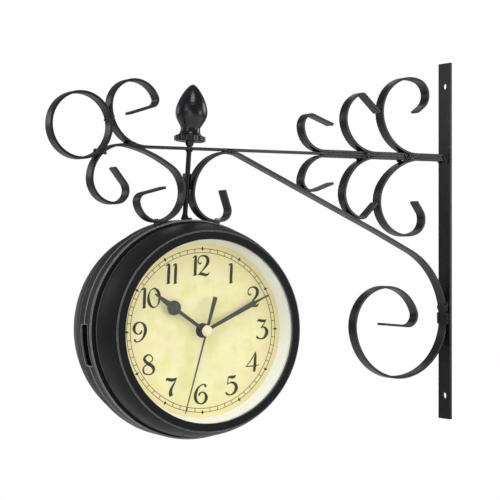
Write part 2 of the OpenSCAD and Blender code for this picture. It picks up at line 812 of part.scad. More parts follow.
module second_hand(turned) {
    color("#2e2f2b")
        at_clock(turned, second_angle, second_at)
            hand(second_hub_r, hand_t + 0.2, second_pin_r + 0.02)
                polygon([
                    [-1.8, -tail_len], [1.8, -tail_len], [1, -1], [0.7, 1],
                    [0.35, second_len], [-0.35, second_len], [-0.7, 1], [-1, -1]
                ]);
}

module hour_tube(turned) {
    color("#c9b26a")
        on_face(turned) translate([0, 0, shaft_from])
            difference() {
                cylinder(r = hour_tube_r, h = hour_at + hub_t - shaft_from);
                translate([0, 0, -1]) cylinder(r = minute_tube_r + run, h = neck_end);
            }
}

module minute_tube(turned) {
    color("#c9b26a")
        on_face(turned) translate([0, 0, shaft_from - 0.4])
            difference() {
                cylinder(r = minute_tube_r, h = minute_at + hub_t - shaft_from + 0.4);
                translate([0, 0, -1]) cylinder(r = second_pin_r + run, h = neck_end);
            }
}

module second_pin(turned) {
    color("silver")
        on_face(turned) translate([0, 0, shaft_from - 0.8])
            cylinder(r = second_pin_r, h = second_at + hand_t + 0.4 - shaft_from + 0.8);
}

// Domed cap over the second hand, with a recess for the end of the pin
module cap(turned) {
    color("#efe0c4")
        on_face(turned) translate([0, 0, second_at + hand_t + 0.2 + seat])
            difference() {
                rotate_extrude()
                    polygon(concat(
                        [[0, 0], [cap_d / 2 - 0.3, 0]],
                        curve([cap_d / 2, 0.3], [cap_d / 2, cap_h * 0.7], [cap_d / 4, cap_h], [0, cap_h], 8)
                    ));
                translate([0, 0, -1]) cylinder(r = second_pin_r + 0.02, h = 1.6);
            }
}

wall_plate();
top_bar();
end_ring();
s_scroll();
brace();
upper_small_scroll();
upper_middle_scroll();
upper_large_scroll();
lower_small_scroll();
lower_middle_scroll();
lower_large_scroll();
weld_beads();
hanger_rod();
finial();
swivel_washer();
swivel_nut();
swivel_bush();
front_case();
rear_case();
case_screws();
bezel(front);  // front_bezel
bezel(rear);  // rear_bezel
thumb_screw(front);  // front_thumb_screw
thumb_screw(rear);  // rear_thumb_screw
glass(front);  // front_glass
glass(rear);  // rear_glass
seal(front);  // front_seal
seal(rear);  // rear_seal
inner_ring(front);  // front_inner_ring
inner_ring(rear);  // rear_inner_ring
dial(front);  // front_dial
dial(rear);  // rear_dial
movement(front);  // front_movement
movement(rear);  // rear_movement
battery(front);  // front_battery
battery(rear);  // rear_battery
dial_nut(front);  // front_dial_nut
dial_nut(rear);  // rear_dial_nut
setting_knob(front);  // front_setting_knob
setting_knob(rear);  // rear_setting_knob
hour_hand(front);  // front_hour_hand
hour_hand(rear);  // rear_hour_hand
hour_tube(front);  // front_hour_tube
hour_tube(rear);  // rear_hour_tube
minute_hand(front);  // front_minute_hand
minute_hand(rear);  // rear_minute_hand
minute_tube(front);  // front_minute_tube
minute_tube(rear);  // rear_minute_tube
second_hand(front);  // front_second_hand
second_hand(rear);  // rear_second_hand
second_pin(front);  // front_second_pin
second_pin(rear);  // rear_second_pin
cap(front);  // front_cap
cap(rear);  // rear_cap
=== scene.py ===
# %% [markdown]
# # Outdoor wall clock under a scrolled iron bracket
# This notebook dresses a finished CAD model. The real clock has a bracket of bent flat iron, welded and
# sprayed black, and a two-sided sheet-metal head that swivels on a rod under it. The shapes come from the
# CAD frame. Blender adds the camera, the studio, the paint and metal finishes, the lumps of the hand welds
# and the print on the dials.

# %% Load the frame
import json
import math
import bmesh
import bpy
import mathutils
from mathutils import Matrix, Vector


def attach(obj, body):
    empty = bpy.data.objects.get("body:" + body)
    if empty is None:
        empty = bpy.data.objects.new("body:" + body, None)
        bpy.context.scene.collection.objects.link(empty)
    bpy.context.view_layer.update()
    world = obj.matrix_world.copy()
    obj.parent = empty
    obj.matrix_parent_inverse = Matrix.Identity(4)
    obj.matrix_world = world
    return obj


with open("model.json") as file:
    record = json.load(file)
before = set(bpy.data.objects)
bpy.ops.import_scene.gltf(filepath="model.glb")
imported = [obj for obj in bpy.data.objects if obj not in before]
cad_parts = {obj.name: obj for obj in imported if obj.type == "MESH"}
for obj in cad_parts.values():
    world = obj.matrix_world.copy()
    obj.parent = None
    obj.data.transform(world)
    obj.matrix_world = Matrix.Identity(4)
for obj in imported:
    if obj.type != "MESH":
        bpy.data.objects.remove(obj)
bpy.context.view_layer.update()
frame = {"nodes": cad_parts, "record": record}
nodes = frame["nodes"]

# %% [markdown]
# ## Camera
# The photograph was taken level with the middle of the clock and from its left, so that the bracket comes
# forward to the left and the dial looks narrower than it is. A long lens from about 1.3 m gives the same
# mild perspective. The place and the turn were fitted to marks such as the ends of the plate and the hub,
# which is more exact than turning a camera by eye until the pictures look alike.

# %% Camera
MM = 0.001
SENSOR_MM = 36
LENS_MM = 115.2
NEAREST = 0.01
CAMERA_AT = (-882.1 * MM, -1121.2 * MM, -7.0 * MM)
# Degrees
TIPPED_DOWN = 0.0358
TURNED_RIGHT = 31.2

camera_data = bpy.data.cameras.new("camera")
camera_data.sensor_width = SENSOR_MM
camera_data.lens = LENS_MM
camera_data.clip_start = NEAREST
camera = bpy.data.objects.new("camera", camera_data)
camera.location = CAMERA_AT
camera.rotation_euler = (math.radians(90 - TIPPED_DOWN), 0, math.radians(-TURNED_RIGHT))
scene = bpy.context.scene
scene.collection.objects.link(camera)
scene.camera = camera
print("lens", LENS_MM, "mm, turned", TURNED_RIGHT, "degrees")

# %% [markdown]
# ## Studio
# A product picture on white has soft light from large panels and a background that is simply white. The
# panels could be shining meshes, but area lamps give the same soft edge with less noise.
#
# The world has three strengths, chosen by the kind of ray. The eye, straight or through glass, sees plain
# white. The paint gets a dim fill. What the gloss mirrors is a dim room on the camera's side, walls that
# are a little lighter beside and behind the clock, and a white backdrop straight behind it. The dim room
# keeps the print clear under the lens, and the narrow backdrop keeps the black paint black.

# %% Colour management and shader helpers
scene.view_settings.view_transform = "Standard"


def add_node(tree, kind, sockets=None, **settings):
    """Adds a shader node; sockets holds plain values or other sockets to join."""
    made = tree.nodes.new("ShaderNode" + kind)
    for name, value in settings.items():
        setattr(made, name, value)
    for name, value in (sockets or {}).items():
        if isinstance(value, bpy.types.NodeSocket):
            tree.links.new(value, made.inputs[name])
        else:
            made.inputs[name].default_value = value
    return made


def mapped(tree, value, low, high, to_low=0.0, to_high=1.0):
    """Value stretched from one range to another and clamped."""
    return add_node(tree, "MapRange", {"Value": value, "From Min": low, "From Max": high,
                                       "To Min": to_low, "To Max": to_high}).outputs[0]


print("colours are shown by", scene.view_settings.view_transform)

# %% World
# How far a ray looks away from the front face runs from -1 to 1. WALLS_FROM, WALLS_TO, BACKDROP_FROM and
# BACKDROP_TO are places on that scale; the other names are strengths of the light.
FILL = 0.55
ROOM = 0.1
WALLS = 0.2
WHITE = 1.0
WALLS_FROM, WALLS_TO = -0.1, 0.3
BACKDROP_FROM, BACKDROP_TO = 0.95, 0.995

world = bpy.data.worlds.new("studio")
world.use_nodes = True
scene.world = world
sky = world.node_tree
sky.nodes.clear()
ray = add_node(sky, "LightPath").outputs
seen = add_node(sky, "Math", {0: ray["Is Camera Ray"], 1: ray["Is Transmission Ray"]},
                operation="MAXIMUM").outputs[0]
away = add_node(sky, "SeparateXYZ", {0: add_node(sky, "TexCoord").outputs["Generated"]}).outputs["Y"]
walls = mapped(sky, away, WALLS_FROM, WALLS_TO, ROOM, WALLS)
backdrop = mapped(sky, away, BACKDROP_FROM, BACKDROP_TO, 0.0, WHITE - WALLS)
mirrored = add_node(sky, "Math", {0: walls, 1: backdrop}, operation="ADD").outputs[0]
lights = [add_node(sky, "Background", {"Color": (1, 1, 1, 1), "Strength": strength}).outputs[0]
          for strength in (FILL, mirrored, WHITE)]
unseen = add_node(sky, "MixShader", {0: ray["Is Glossy Ray"], 1: lights[0], 2: lights[1]})
choice = add_node(sky, "MixShader", {0: seen, 1: unseen.outputs[0], 2: lights[2]})
add_node(sky, "OutputWorld", {"Surface": choice.outputs[0]})
print("world fill", FILL, "and in the gloss: room", ROOM, "walls", WALLS, "backdrop", WHITE)

# %% [markdown]
# ## Lamps
# Black paint shows its form by what it mirrors. One large lamp would be simpler, but the paint would mirror
# it as one grey sheet, so there are seven smaller ones, each for a line or a surface. The panel on top lights
# the upper edges, the two in front the dial, the strips and the flare of the bezel, those at the sides the
# thin edges of the iron, and the two behind draw the rims of the drum. All are square area lamps, so their
# light stays soft, and they face the middle of the clock.

# %% Lamps
LOOK_AT = Vector((-0.2, 0, 0))
# Name, place and side of the square in metres, and power in watts
PANELS = [
    ("panel_top", (-0.5, -0.8, 1.5), 0.6, 5.6),
    ("panel_front_right", (1.05, -1.7, 0.1), 0.6, 5.5),
    ("panel_front_left", (-1.45, -1.45, -0.2), 0.9, 4.1),
    ("panel_left", (-1.8, -0.7, 0.7), 0.8, 3.2),
    ("panel_back", (0.9, 1.5, 1.7), 1.6, 4),
    ("panel_behind_left", (-0.78, 0.68, 0.27), 0.3, 0.5),
    ("panel_right", (1.5, -0.25, 0.45), 0.8, 8),
]

for name, place, side, watts in PANELS:
    panel_data = bpy.data.lights.new(name, "AREA")
    panel_data.shape = "SQUARE"
    panel_data.size = side
    panel_data.energy = watts
    panel = bpy.data.objects.new(name, panel_data)
    panel.location = place
    panel.rotation_euler = (LOOK_AT - Vector(place)).to_track_quat("-Z", "Y").to_euler()
    scene.collection.objects.link(panel)
print(len(PANELS), "panels")

# %% [markdown]
# ## Floor
# The clock hangs, so the floor lies well under it and only takes a soft shadow. A square plane would show
# its corners from some sides, so it is a large pale disc.

# %% Floor
FLOOR_X = -0.19
FLOOR_Z = -0.6
FLOOR_R = 2.3
FLOOR_STEP = 5
FLOOR_COLOUR = (0.86, 0.86, 0.86, 1)
FLOOR_ROUGHNESS = 0.9

rim = [(FLOOR_R * math.cos(math.radians(a)) + FLOOR_X, FLOOR_R * math.sin(math.radians(a)), FLOOR_Z)
       for a in range(0, 360, FLOOR_STEP)]
floor_mesh = bpy.data.meshes.new("floor")
floor_mesh.from_pydata(rim, [], [list(range(len(rim)))])
floor = bpy.data.objects.new("floor", floor_mesh)
scene.collection.objects.link(floor)
floor_paint = bpy.data.materials.new("floor_paint")
floor_paint.use_nodes = True
floor_shader = floor_paint.node_tree.nodes["Principled BSDF"]
floor_shader.inputs["Base Color"].default_value = FLOOR_COLOUR
floor_shader.inputs["Roughness"].default_value = FLOOR_ROUGHNESS
floor_mesh.materials.append(floor_paint)
print("floor at", FLOOR_Z, "m")

# %% [markdown]
# ## Where the faces look
# The head hangs a few degrees turned from its bracket, so nothing on it lines up with X or Y. The paint of
# the case, the colours of the dial and the print all have to know where it is. They could each work it out
# from the mesh, but one small frame, typed from the CAD model's own pivot and turn, keeps them in step.

# %% Face frame
# The middle of the head, the direction across its front face, the way that face looks, and how far in
# front of the middle its dial lies
HEAD = Vector((-262.5 * MM, 0, -70.8 * MM))
TURN = math.radians(-4.5)
ACROSS = Vector((math.cos(TURN), math.sin(TURN), 0))
UP = Vector((0, 0, 1))
FORWARD = ACROSS.cross(UP)
DIAL_AT = 29.8 * MM
print("front face looks to", FORWARD)

# %% [markdown]
# ## Black paints
# The bracket, the finial, the head and the weld drops are sprayed black, each a little differently. Real
# spray paint has a faint orange-peel surface, gets thinner over sharp edges, where it looks lighter, and
# gathers dust on what faces up. The lighter colour along the edges is also a painted highlight: it stands
# in for the light lines that rounded edges catch, and on the head it is mostly painted highlight. A
# photograph of paint could be wrapped round the pieces, but one recipe of nodes makes all four blacks with
# grain, gloss and edges in real millimetres. The Bevel node rounds the light at the edges without touching
# the CAD mesh.

# %% Helpers for finishes
def new_finish(name):
    """Empty Principled material: the material, its tree and its shader."""
    material = bpy.data.materials.new(name)
    material.use_nodes = True
    return material, material.node_tree, material.node_tree.nodes["Principled BSDF"]


def noise(tree, where, size_mm, detail=2.0, roughness=0.5):
    """Noise whose lumps are about size_mm across, from 0 to 1."""
    return add_node(tree, "TexNoise", {"Vector": where, "Scale": 1 / (size_mm * MM), "Detail": detail,
                                       "Roughness": roughness}).outputs["Fac"]


def mixed(tree, share, a, b):
    """Colour between a and b."""
    made = add_node(tree, "Mix", {0: share}, data_type="RGBA")
    for socket, value in ((made.inputs[6], a), (made.inputs[7], b)):
        if isinstance(value, bpy.types.NodeSocket):
            tree.links.new(value, socket)
        else:
            socket.default_value = (*value, 1)
    return made.outputs[2]


# Nearly all of a noise lies between these two values
NOISE_SPAN = (0.3, 0.7)
BEVEL_SAMPLES = 4
print("noise is read from", NOISE_SPAN[0], "to", NOISE_SPAN[1])

# %% Edges of the paint
# The rims of the drum are rolled sheet and the lip of the bezel is a crisp fold, so the head's edges are
# rounder near its seam than at its lips. The rounding also sets how wide the lighter edge colour is, so the
# painted highlight lines are wide near the seam and narrow at the lips. Both distances are in millimetres
# from the middle plane.
ROUND_UP_TO = 38
CRISP_FROM = 43
# An edge shows where the rounded surface turns away from the true one: cosines where it starts and is full.
# There the paint takes its lighter edge colour, partly rubbed paint and partly painted highlight.
EDGE_STARTS = 0.996
EDGE_FULL = 0.96


def edge_radius(tree, where, edge_mm):
    """Rounding of the edges: one radius, or one near the head's seam and one at its lips."""
    if not isinstance(edge_mm, tuple):
        return edge_mm * MM
    arm = add_node(tree, "VectorMath", {0: where, 1: HEAD}, operation="SUBTRACT").outputs[0]
    out = add_node(tree, "VectorMath", {0: arm, 1: FORWARD}, operation="DOT_PRODUCT").outputs["Value"]
    out = add_node(tree, "Math", {0: out}, operation="ABSOLUTE").outputs[0]
    return mapped(tree, out, ROUND_UP_TO * MM, CRISP_FROM * MM, edge_mm[0] * MM, edge_mm[1] * MM)


print("rounder up to", ROUND_UP_TO, "mm from the seam, crisp from", CRISP_FROM, "mm")

# %% Recipe for sprayed paint
PATCH_MM = 14
DUST_MM = 5
# How far up a surface has to face before dust stays, and the most that dust covers
DUST_SLOPE = 0.5
DUST_MOST = 0.5


def sprayed(name, colour, worn_edge_and_highlight, dust, gloss, peel_mm, peel_depth, edge_mm, shine, wear_and_highlight_span):
    """Black spray paint: worn_edge_and_highlight is its lighter colour over edges, partly rubbed paint and
    partly painted highlight, gloss its roughness from smooth to dull, wear_and_highlight_span the span of the
    noise over which that edge colour comes up; peel and edge are in millimetres."""
    material, tree, shader = new_finish(name)
    where = add_node(tree, "TexCoord").outputs["Object"]
    facing = add_node(tree, "NewGeometry").outputs["Normal"]
    radius = edge_radius(tree, where, edge_mm)
    rounded = add_node(tree, "Bevel", {"Radius": radius}, samples=BEVEL_SAMPLES).outputs[0]
    bend = add_node(tree, "VectorMath", {0: rounded, 1: facing}, operation="DOT_PRODUCT").outputs["Value"]
    edge = mapped(tree, bend, EDGE_STARTS, EDGE_FULL)
    patchy = noise(tree, where, PATCH_MM, detail=4)
    worn_and_highlit = add_node(tree, "Math", {0: edge, 1: mapped(tree, patchy, *wear_and_highlight_span)}, operation="MULTIPLY").outputs[0]
    up = add_node(tree, "SeparateXYZ", {0: facing}).outputs["Z"]
    lying = mapped(tree, up, DUST_SLOPE, 1, 0, DUST_MOST)
    spots = noise(tree, where, DUST_MM, detail=5, roughness=0.7)
    dusty = add_node(tree, "Math", {0: lying, 1: spots}, operation="MULTIPLY").outputs[0]
    # Lighter colour along the edges: partly paint rubbed through, partly a painted highlight standing in for
    # the light lines that rounded edges catch.
    base = mixed(tree, worn_and_highlit, colour, worn_edge_and_highlight)
    tree.links.new(mixed(tree, dusty, base, dust), shader.inputs["Base Color"])
    tree.links.new(mapped(tree, patchy, *NOISE_SPAN, *gloss), shader.inputs["Roughness"])
    height = noise(tree, where, peel_mm, roughness=0.55)
    bump = add_node(tree, "Bump", {"Strength": 1.0, "Distance": peel_depth * MM, "Height": height,
                                   "Normal": rounded})
    tree.links.new(bump.outputs[0], shader.inputs["Normal"])
    shader.inputs["Specular IOR Level"].default_value = shine
    return material


print("dust lies in spots of", DUST_MM, "mm, gloss in patches of", PATCH_MM, "mm")

# %% Four black paints
finishes = {
    "black_iron_paint": sprayed(
        "black_iron_paint", colour=(0.0052, 0.006, 0.0072), worn_edge_and_highlight=(0.02, 0.02, 0.021),
        dust=(0.03, 0.03, 0.029), gloss=(0.26, 0.36), peel_mm=1.2, peel_depth=0.02, edge_mm=0.8,
        shine=0.4, wear_and_highlight_span=(0.4, 0.62)),
    "hammered_black": sprayed(
        "hammered_black", colour=(0.008, 0.0085, 0.0105), worn_edge_and_highlight=(0.03, 0.03, 0.032),
        dust=(0.02, 0.02, 0.02), gloss=(0.2, 0.3), peel_mm=3.0, peel_depth=0.03, edge_mm=0.6,
        shine=0.6, wear_and_highlight_span=(0.4, 0.62)),
    # On the head the lighter edge colour is mostly painted highlight: the bright lines along the drum's rims,
    # its seam and the bezel.
    "black_case_paint": sprayed(
        "black_case_paint", colour=(0.0145, 0.015, 0.016), worn_edge_and_highlight=(0.5, 0.5, 0.505),
        dust=(0.02, 0.02, 0.02), gloss=(0.34, 0.46), peel_mm=0.8, peel_depth=0.012, edge_mm=(1.3, 0.35),
        shine=0.1, wear_and_highlight_span=(0.1, 0.3)),
}
weld_paint = sprayed(
    "weld_paint", colour=(0.007, 0.0075, 0.0085), worn_edge_and_highlight=(0.03, 0.03, 0.03),
    dust=(0.02, 0.02, 0.02), gloss=(0.1, 0.18), peel_mm=1.6, peel_depth=0.05, edge_mm=0.3,
    shine=0.6, wear_and_highlight_span=(0.4, 0.62))
print(len(finishes) + 1, "black paints")

# %% [markdown]
# ## Metals
# The screws, nuts and washers are zinc plated, and the hour and minute shafts are turned brass. Both are
# plain metal shaders. Fine rings or scratches in the roughness tell turned metal from a mirror, so the
# noise is squeezed along one direction. Real grooves in the mesh would be far too fine to see.

# %% Recipe for bare metal
# Shares of the roughness along and beside a streak, and the size and shade of the darker clouds
ALONG, BESIDE = 0.6, 1.3
TARNISH_MM, TARNISH = 3, 0.8


def metal(name, colour, dull, size_mm, stretch):
    """Bare metal with fine streaks along one axis; dull is its middle roughness."""
    material, tree, shader = new_finish(name)
    where = add_node(tree, "TexCoord").outputs["Object"]
    squeezed = add_node(tree, "Mapping", {"Vector": where, "Scale": stretch}).outputs[0]
    streaks = noise(tree, squeezed, size_mm, detail=4, roughness=0.6)
    rough = mapped(tree, streaks, *NOISE_SPAN, dull * ALONG, dull * BESIDE)
    tree.links.new(rough, shader.inputs["Roughness"])
    darker = tuple(TARNISH * c for c in colour)
    clouds = noise(tree, where, TARNISH_MM, detail=3)
    tree.links.new(mixed(tree, clouds, colour, darker), shader.inputs["Base Color"])
    shader.inputs["Metallic"].default_value = 1.0
    return material


print("streaks from", ALONG, "to", BESIDE, "of the roughness")

# %% Zinc and brass
finishes["plated_steel"] = metal(
    "plated_steel", colour=(0.62, 0.62, 0.6), dull=0.32, size_mm=0.6, stretch=(1, 1, 8))
finishes["brass"] = metal(
    "brass", colour=(0.75, 0.56, 0.27), dull=0.28, size_mm=0.5, stretch=(1, 8, 1))
print(len(finishes), "finishes with zinc and brass")

# %% [markdown]
# ## Plastics, rubber and small paints
# The cap, the movement, the knob, the seal, the white ring, the hands and the ink are small and nearly
# plain. Each still has a grain, a slight unevenness of colour and its own gloss, because a flat colour
# reads as unfinished in a close view. They differ in numbers only, so they share one recipe.

# %% Recipe for moulded and painted small parts
# Span of the noise over which one colour gives way to the other
CLOUD_SPAN = (0.35, 0.65)
# Shares of the roughness outside and inside a cloud
CLEAR, CLOUDED = 0.9, 1.15


def moulded(name, colour, other, dull, grain_mm, grain_depth, cloud_mm, edge_mm=0.2, shine=0.5):
    """Plastic, rubber or a film of paint with a colour clouded by another one and a fine grain."""
    material, tree, shader = new_finish(name)
    where = add_node(tree, "TexCoord").outputs["Object"]
    clouds = mapped(tree, noise(tree, where, cloud_mm, detail=4, roughness=0.6), *CLOUD_SPAN)
    tree.links.new(mixed(tree, clouds, colour, other), shader.inputs["Base Color"])
    tree.links.new(mapped(tree, clouds, 0, 1, dull * CLEAR, dull * CLOUDED), shader.inputs["Roughness"])
    rounded = add_node(tree, "Bevel", {"Radius": edge_mm * MM}, samples=BEVEL_SAMPLES).outputs[0]
    bump = add_node(tree, "Bump", {"Strength": 1.0, "Distance": grain_depth * MM,
                                   "Height": noise(tree, where, grain_mm), "Normal": rounded})
    tree.links.new(bump.outputs[0], shader.inputs["Normal"])
    shader.inputs["Specular IOR Level"].default_value = shine
    return material


print("clouds are read from", CLOUD_SPAN[0], "to", CLOUD_SPAN[1])

# %% Small parts
finishes["white_ring_paint"] = moulded(
    "white_ring_paint", colour=(0.93, 0.93, 0.9), other=(0.9, 0.9, 0.86),
    dull=0.4, grain_mm=0.8, grain_depth=0.006, cloud_mm=20)
finishes["cream_plastic"] = moulded(
    "cream_plastic", colour=(0.88, 0.75, 0.53), other=(0.85, 0.71, 0.48),
    dull=0.35, grain_mm=0.5, grain_depth=0.004, cloud_mm=3)
finishes["grey_hand_paint"] = moulded(
    "grey_hand_paint", colour=(0.03, 0.032, 0.027), other=(0.045, 0.047, 0.04),
    dull=0.5, grain_mm=0.3, grain_depth=0.004, cloud_mm=6, edge_mm=0.15, shine=0.4)
dial_ink = moulded(
    "dial_ink", colour=(0.011, 0.013, 0.01), other=(0.022, 0.025, 0.018),
    dull=0.55, grain_mm=0.3, grain_depth=0.002, cloud_mm=5, edge_mm=0.05, shine=0.3)
finishes["black_plastic"] = moulded(
    "black_plastic", colour=(0.02, 0.02, 0.021), other=(0.028, 0.028, 0.028),
    dull=0.55, grain_mm=0.4, grain_depth=0.02, cloud_mm=8)
finishes["knob_plastic"] = moulded(
    "knob_plastic", colour=(0.72, 0.68, 0.6), other=(0.68, 0.64, 0.55),
    dull=0.45, grain_mm=0.4, grain_depth=0.01, cloud_mm=4)
finishes["seal_rubber"] = moulded(
    "seal_rubber", colour=(0.02, 0.02, 0.02), other=(0.03, 0.03, 0.03),
    dull=0.8, grain_mm=0.5, grain_depth=0.02, cloud_mm=5)
print(len(finishes), "finishes so far")

# %% [markdown]
# ## Battery wrap
# A printed film goes round the cell: a dark main colour and a metallic band at the positive end. The two
# could be separate pieces, but the film is one sheet, so one material changes along the cell's length. The
# place along it is read from Generated coordinates, which run from 0 to 1 over the cell's own box.

# %% Battery wrap
BAND_FROM, BAND_FULL = 0.7, 0.705
FILM_DARK = (0.03, 0.09, 0.05)
FILM_BAND = (0.55, 0.36, 0.16)
BAND_METALLIC = 0.6
FILM_GLOSS = (0.22, 0.34)
# Over coordinates from 0 to 1, a noise size of 200 means lumps of a fifth of the box
FILM_LUMPS = 200


def battery_film():
    """Two-tone film, split across the length of each cell."""
    material, tree, shader = new_finish("battery_wrap")
    where = add_node(tree, "TexCoord").outputs["Generated"]
    along = add_node(tree, "SeparateXYZ", {0: where}).outputs["X"]
    band = mapped(tree, along, BAND_FROM, BAND_FULL)
    tree.links.new(mixed(tree, band, FILM_DARK, FILM_BAND), shader.inputs["Base Color"])
    metallic = mapped(tree, along, BAND_FROM, BAND_FULL, 0.0, BAND_METALLIC)
    tree.links.new(metallic, shader.inputs["Metallic"])
    uneven = noise(tree, where, FILM_LUMPS)
    tree.links.new(mapped(tree, uneven, *NOISE_SPAN, *FILM_GLOSS), shader.inputs["Roughness"])
    return material


finishes["battery_wrap"] = battery_film()
print("battery film, its band from", BAND_FROM, "of the length")

# %% [markdown]
# ## Glass
# The lens is thin clear glass. A lamp's light would reach the dial only as caustics, which are noisy, so
# rays on their way to a lamp meet a clear shader instead, and every other ray meets real glass.

# %% Clear glass
GLASS_TINT = (0.97, 0.985, 0.98, 1)
SHADOW_TINT = (0.95, 0.96, 0.955, 1)
GLASS_IOR = 1.3


def window_glass():
    """Glass for the eye, clear to the lamps."""
    material, tree, shader = new_finish("clear_glass")
    shader.inputs["Base Color"].default_value = GLASS_TINT
    shader.inputs["Roughness"].default_value = 0.0
    shader.inputs["IOR"].default_value = GLASS_IOR
    shader.inputs["Transmission Weight"].default_value = 1.0
    clear = add_node(tree, "BsdfTransparent", {"Color": SHADOW_TINT})
    shadow = add_node(tree, "LightPath").outputs["Is Shadow Ray"]
    both = add_node(tree, "MixShader", {0: shadow, 1: shader.outputs[0], 2: clear.outputs[0]})
    tree.links.new(both.outputs[0], tree.nodes["Material Output"].inputs["Surface"])
    return material


finishes["clear_glass"] = window_glass()
print("glass of index", GLASS_IOR)

# %% [markdown]
# ## Dial face
# The dial is a paper or painted disc with an aged look: pale cream in the middle, mottled with green and
# peach clouds, and warmer towards the rim. An image could hold all that, but a few noises need no file and
# stay sharp in a close view. The distance from the dial's centre, in the face frame of the head, drives the
# warm rim. It is measured in the object's own coordinates, so the colours stay put when the head swivels.

# %% Aged cream print
# Colours of the clouds, of the rim and of the specks
GREENISH, CREAM, PEACH = (0.79, 0.73, 0.33), (0.86, 0.8, 0.45), (0.87, 0.73, 0.47)
TANNED, SPECK = (0.82, 0.68, 0.34), (0.7, 0.58, 0.28)
# Sizes of the clouds, specks and paper grain
CLOUD_MM, PEACH_MM, SPECK_MM, PAPER_MM = 13, 11, 0.9, 0.4
PAPER_DEPTH = 0.008 * MM
# Spans of the noises over which each comes in, and the most that a colour takes over
CREAM_SPAN, PEACH_SPAN, SPECK_SPAN = (0.4, 0.6), (0.5, 0.68), (0.62, 0.75)
PEACH_MOST, SPECK_MOST, RIM_MOST = 0.8, 0.35, 0.85
# Where the rim warms, from the centre, and how far the clouds push that place about
RIM_FROM, RIM_TO, WANDER = 62 * MM, 88 * MM, 0.03
DIAL_GLOSS = (0.5, 0.62)


def aged_dial():
    """Cream that warms towards the rim, with soft clouds and fine speckle."""
    material, tree, shader = new_finish("cream_dial_paint")
    where = add_node(tree, "TexCoord").outputs["Object"]
    arm = add_node(tree, "VectorMath", {0: where, 1: HEAD}, operation="SUBTRACT").outputs[0]
    side = add_node(tree, "VectorMath", {0: arm, 1: ACROSS}, operation="DOT_PRODUCT").outputs["Value"]
    high = add_node(tree, "SeparateXYZ", {0: arm}).outputs["Z"]
    flat = add_node(tree, "CombineXYZ", {0: side, 1: high}).outputs[0]
    radius = add_node(tree, "VectorMath", {0: flat}, operation="LENGTH").outputs["Value"]
    clouds = noise(tree, where, CLOUD_MM, detail=5, roughness=0.6)
    edge = add_node(tree, "Math", {0: clouds, 1: WANDER, 2: radius}, operation="MULTIPLY_ADD").outputs[0]
    rim_share = mapped(tree, edge, RIM_FROM, RIM_TO, 0, RIM_MOST)
    mottled = mixed(tree, mapped(tree, clouds, *CREAM_SPAN), GREENISH, CREAM)
    peachy = mapped(tree, noise(tree, where, PEACH_MM, detail=3), *PEACH_SPAN, 0, PEACH_MOST)
    aged = mixed(tree, rim_share, mixed(tree, peachy, mottled, PEACH), TANNED)
    dots = noise(tree, where, SPECK_MM, detail=3, roughness=0.7)
    specks = mapped(tree, dots, *SPECK_SPAN, 0, SPECK_MOST)
    tree.links.new(mixed(tree, specks, aged, SPECK), shader.inputs["Base Color"])
    tree.links.new(mapped(tree, clouds, *NOISE_SPAN, *DIAL_GLOSS), shader.inputs["Roughness"])
    grain = noise(tree, where, PAPER_MM, detail=3, roughness=0.6)
    paper = add_node(tree, "Bump", {"Strength": 1.0, "Distance": PAPER_DEPTH, "Height": grain})
    tree.links.new(paper.outputs[0], shader.inputs["Normal"])
    return material


finishes["cream_dial_paint"] = aged_dial()
print("dial finish, its rim warm from", RIM_FROM, "m")

# %% [markdown]
# ## Dress the CAD nodes
# The record names a material slot for every node. Finishes could be given node by node, but one loop over
# the record can't forget one, and both sides of the head come out alike.

# %% Finishes onto nodes
for part in frame["record"]["subparts"]:
    skin = nodes[part["node"]].data.materials
    skin.clear()
    skin.append(finishes[part["material_slot"]])

# %% [markdown]
# ## Weld drops
# The strips are joined by short hand welds. The CAD has one neat bead at each joint, but a hand weld is a
# run of drops that melt into each other, so each joint gets a few lumpy drops over its bead or close beside
# it, on both edges of the strip. They could be a noise on the bead, but that would change the CAD mesh, so
# they are closed balls instead, whose radius wanders with a noise, under a glossier coat of the black.

# %% Places of the welds
# Joint: x and z of its middle, how far its drops stand from the middle plane, and its drops as
# (along x, along z, radius). All in millimetres.
WELDS = [
    (-90.3, 73.4, 4.8, (
        (-3.4, -1.3, 2.0), (-0.9, 0.5, 2.6), (1.7, 0.9, 2.1), (-1.7, -2.9, 1.9), (-2.2, 2.2, 1.6))),
    (-45.3, 73.4, 4.8, (
        (-2.6, 0.6, 2.2), (0.2, -0.2, 2.6), (2.3, -1.0, 1.9), (-2.0, -2.6, 2.1), (-4.0, -3.4, 1.5))),
    (-4.2, 73.4, 5.6, ((0.2, -2.6, 1.8), (-0.8, -0.4, 2.2), (0.3, 1.9, 1.9), (-2.6, 0.8, 1.5))),
    (-3.6, -57.8, 5.3, ((0.1, -2.8, 1.8), (-0.4, -0.6, 2.3), (0.5, 1.7, 2.1), (1.5, 3.6, 1.6))),
    (-223.8, 72.4, 4.8, ((-1.6, 0.3, 1.7), (0.8, -0.3, 1.9), (2.6, -0.9, 1.3))),
    (-312.6, 75.0, 4.8, ((-2.1, 0.8, 1.7), (0.2, -0.2, 2.2), (2.6, -0.6, 1.5))),
    (-308.3, 73.3, 4.8, ((-0.3, 0.0, 1.7),)),
    (-331.2, 95.7, 4.8, ((-0.4, -2.0, 1.7), (0.3, 0.3, 2.1), (0.0, 2.4, 1.5))),
    (-339.3, 68.6, 4.8, ((-1.5, 0.9, 1.8), (0.6, -0.3, 2.0), (2.3, -1.2, 1.4))),
]
print(len(WELDS), "welded joints")

# %% One weld drop
DROP_RINGS, DROP_SIDES = 9, 16
# Share of its radius that a drop has from front to back
FLAT = 0.65
# How much the radius swells, how many lumps there are to a radius, and the step in the noise between drops
SWELL = 0.3
LUMPS = 1.7
STEP_X, STEP_Y = 3.7, 1.3


